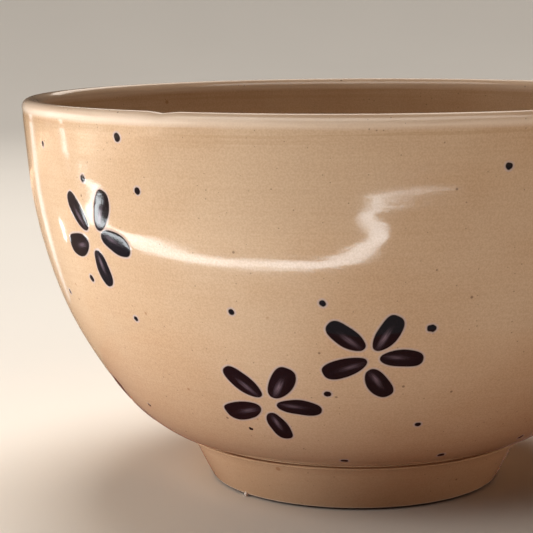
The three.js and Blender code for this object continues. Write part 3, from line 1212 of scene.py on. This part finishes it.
# %% Make a glowing card
def glowing_card(name, near, far, strengths, glow):
    """A glowing sheet between two edges of as many points, which shows only in the glaze."""
    count = len(near)
    faces = [(i, i + 1, count + i + 1, count + i) for i in range(count - 1)]
    made = mesh_object(name, [*near, *far], faces, smooth=False)
    values = made.data.attributes.new("glow", "FLOAT", "POINT")
    values.data.foreach_set("value", np.tile(strengths, 2).tolist())
    material = bpy.data.materials.new(name)
    material.use_nodes = True
    tree = material.node_tree
    tree.nodes.remove(tree.nodes["Principled BSDF"])
    lamp = tree.nodes.new("ShaderNodeEmission")
    lamp.inputs["Color"].default_value = glow
    plug(tree, lamp.inputs["Strength"], attribute(tree, "glow").outputs["Fac"])
    plug(tree, tree.nodes["Material Output"].inputs["Surface"], lamp.outputs[0])
    made.data.materials.append(material)
    made.visible_camera = made.visible_diffuse = made.visible_shadow = False
    made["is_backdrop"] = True
    print(name, "has", count - 1, "faces")


# %% [markdown]
# A bright ribbon lies on the table. It bends round the bowl from the left, and at the front
# it turns and runs away from it, which the belly mirrors as an S. Three thin gleams lie
# further to the left. The path of a ribbon is a handful of points on the table, with a
# smooth line through them.

# %% Lay ribbons of light on the table
# (x, y, half of its width in mm, brightness)
BAND = [
    (-790, 125, 9, 0.8), (-715, 40, 20, 1.0), (-640, -20, 30, 1.0), (-575, 5, 34, 1.0),
    (-520, 10, 32, 1.0), (-460, -30, 20, 1.0), (-410, -75, 15, 1.0), (-300, -175, 16, 1.0),
    (-220, -225, 14, 1.0), (-120, -275, 14, 1.0), (-20, -310, 16, 0.95), (25, -345, 17, 0.95),
    (50, -400, 18, 0.95), (25, -450, 18, 0.95), (35, -490, 19, 0.95), (75, -535, 19, 0.95),
    (155, -550, 16, 0.95), (245, -540, 12, 0.65), (335, -505, 5, 0.0),
]
GLEAMS = {
    "gleam_low": [(-495, 225, 5, 0.7), (-445, 185, 9, 1.0), (-400, 150, 4, 0.7)],
    "gleam_high": [(-1250, 470, 16, 0.4), (-1000, 330, 22, 0.6), (-860, 240, 12, 0.4)],
    "gleam_edge": [
        (-1150, 1400, 75, 0.12), (-825, 930, 60, 0.14), (-615, 655, 45, 0.15),
        (-380, 335, 28, 0.14), (-245, 190, 13, 0.08),
    ],
}
BAND_GLOW = (8.8, 9.2, 9.4, 1)
RIBBON_HEIGHT = 0.3 * MM
RIBBON_SPACING = 6


def glowing_ribbon(name, path):
    """A glowing ribbon on the table, along a smooth line through (x, y, half width, strength)."""
    line = smooth_line(path, RIBBON_SPACING)
    ahead = np.gradient(line[:, :2], axis=0)
    ahead /= np.linalg.norm(ahead, axis=1)[:, None]
    half_across = np.stack([-ahead[:, 1], ahead[:, 0]], axis=1) * line[:, 2:3]
    edges = [line[:, :2] - half_across, line[:, :2] + half_across]
    edges = [[(x * MM, y * MM, RIBBON_HEIGHT) for x, y in edge] for edge in edges]
    glowing_card(name, *edges, line[:, 3], BAND_GLOW)
    return line


band = glowing_ribbon("bright_band", BAND)
for name, path in GLEAMS.items():
    glowing_ribbon(name, path)

# %% [markdown]
# Between the ribbon and the board the table is a little brighter, and the edge of the board
# ends that in a soft line across the belly. So this card reaches from a circle round the
# bowl to the ribbon, and beyond the ribbon's end to a wider circle.

# %% Brighten the table
TABLE_GLOW = (0.2, 0.18, 0.16, 1)
TABLE_GLOW_HEIGHT = 0.1 * MM
BAND_FROM_X = -480
FAR_CIRCLE = 0.6

near_band = band[band[:, 0] > BAND_FROM_X, :2] * MM
table_line = np.vstack([near_band, [around(side, FAR_CIRCLE, 0)[:2] for side in range(35, 101, 5)]])
turns = np.linspace(-95, 100, len(table_line))
board_edge = [around(side, BOARD_RADIUS, TABLE_GLOW_HEIGHT) for side in turns]
outer_edge = [(x, y, TABLE_GLOW_HEIGHT) for x, y in table_line]
glowing_card("table_glow", board_edge, outer_edge, np.ones(len(turns)), TABLE_GLOW)

# %% [markdown]
# Three tall cards stand round the bowl. The ones behind it and in front of it are high up,
# and the lip catches them as two fine lines. The one at the left stands for the window.

# %% Stand up the tall cards
LIP_GLOW = (2.2, 2.0, 1.75, 1)
WINDOW_GLOW = (0.7, 0.7, 0.7, 1)
SKY_GLOW = (2.6, 2.5, 2.35, 1)


def standing_card(name, azimuths, away, heights, glow):
    """A curved card that stands round the bowl between two azimuths and two heights."""
    sides = np.linspace(*azimuths, 24)
    edges = [[around(side, away, height) for side in sides] for height in heights]
    glowing_card(name, *edges, np.ones(len(sides)), glow)


standing_card("card_behind", (158, 203), 2.5, (1.0, 4.2), LIP_GLOW)
standing_card("card_window", (-122, -98), 1.5, (-0.02, 0.5), WINDOW_GLOW)
standing_card("card_sky", (-75, 75), 1.4, (1.1, 3.4), SKY_GLOW)

# %% [markdown]
# ## Measure and finish
#
# The bowl that was made is meant to stay inside its frame. The two boxes are measured and
# printed side by side.

# %% Measure and finish
visual_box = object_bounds()
for label, (low, high) in (("frame", frame_box), ("bowl", visual_box)):
    print(label, [round(v / MM, 2) for v in low], [round(v / MM, 2) for v in high])
